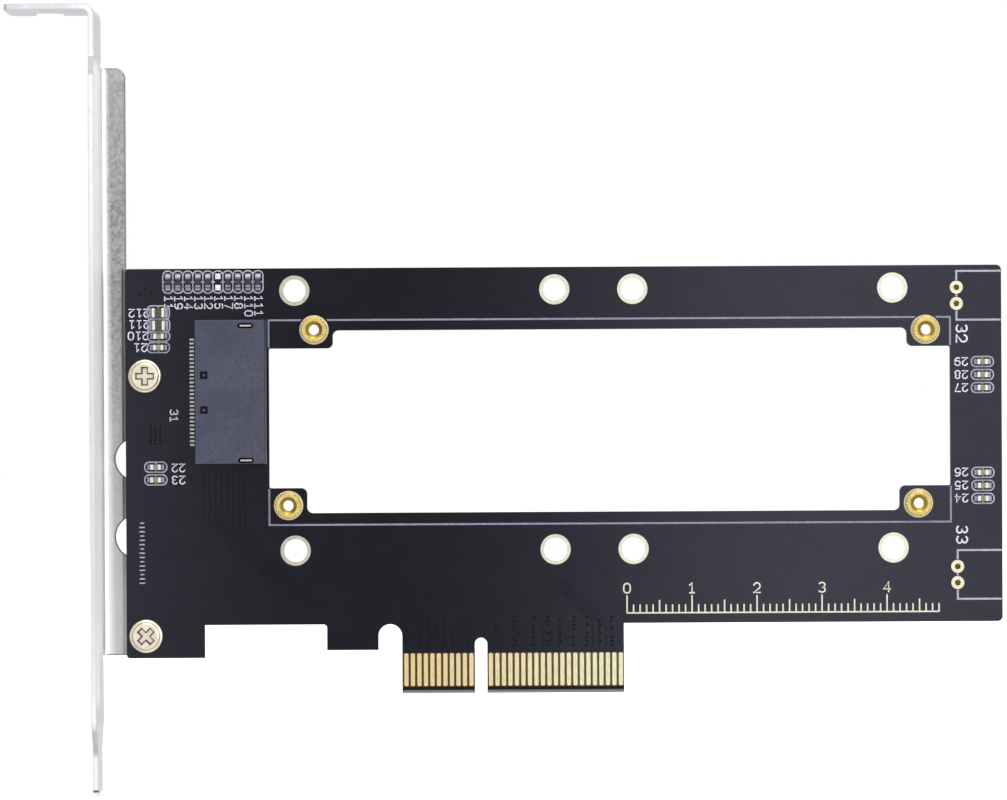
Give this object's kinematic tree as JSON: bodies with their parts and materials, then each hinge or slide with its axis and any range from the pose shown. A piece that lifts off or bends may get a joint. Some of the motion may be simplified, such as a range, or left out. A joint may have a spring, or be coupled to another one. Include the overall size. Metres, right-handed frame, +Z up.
{
  "type": "nvme adapter card",
  "caption": "Expansion card with a slot bracket and a gold edge that holds a ruler-shaped solid state drive over a window in its board, in a side-entry connector.",
  "frame": {"origin": "middle of the key notch in the gold edge, on the edge's lower line and at the middle of the board's thickness", "axes": "+X from the slot bracket towards the far end of the card, +Y out of the back of the board, +Z up from the gold edge; the parts side of the board faces -Y"},
  "size_m": [0.1523, 0.0196, 0.12],
  "materials": {
    "mask_black_board": "black solder mask over glass epoxy, satin",
    "gold_plate": "thin gold plating, satin",
    "turned_brass": "turned brass, bright",
    "zinc_plated_steel": "zinc plated sheet steel, satin and mottled",
    "nickel_plated_steel": "warm nickel plating",
    "grey_moulding": "dark slate grey moulded thermoplastic",
    "tin_plate": "matt tin",
    "solder": "bright reflowed solder",
    "resistor_glaze": "dark glaze",
    "capacitor_ceramic": "fired ceramic, matt",
    "white_print": "white screen printed ink"
  },
  "bodies": {
    "root": {"circuit_board": "mask_black_board", "edge_contacts_front": "gold_plate", "edge_contacts_back": "gold_plate", "fan_hole_sleeves": "gold_plate", "standoff_sleeves": "gold_plate", "header_sleeves": "gold_plate", "drive_standoffs": "turned_brass", "drive_connector_housing": "grey_moulding", "upper_terminals": "tin_plate", "lower_terminals": "tin_plate", "terminal_pads": "solder", "board_locks": "tin_plate", "lock_solder": "solder", "slot_bracket": "zinc_plated_steel", "bracket_screws": "nickel_plated_steel", "resistor_bodies": "resistor_glaze", "resistor_end_caps": "tin_plate", "capacitor_bodies": "capacitor_ceramic", "capacitor_end_caps": "tin_plate", "chip_solder_joints": "solder", "bare_pads": "solder", "drive_outline_print": "white_print", "header_outline_print": "white_print", "chip_outline_print": "white_print"}
  },
  "joints": []
}
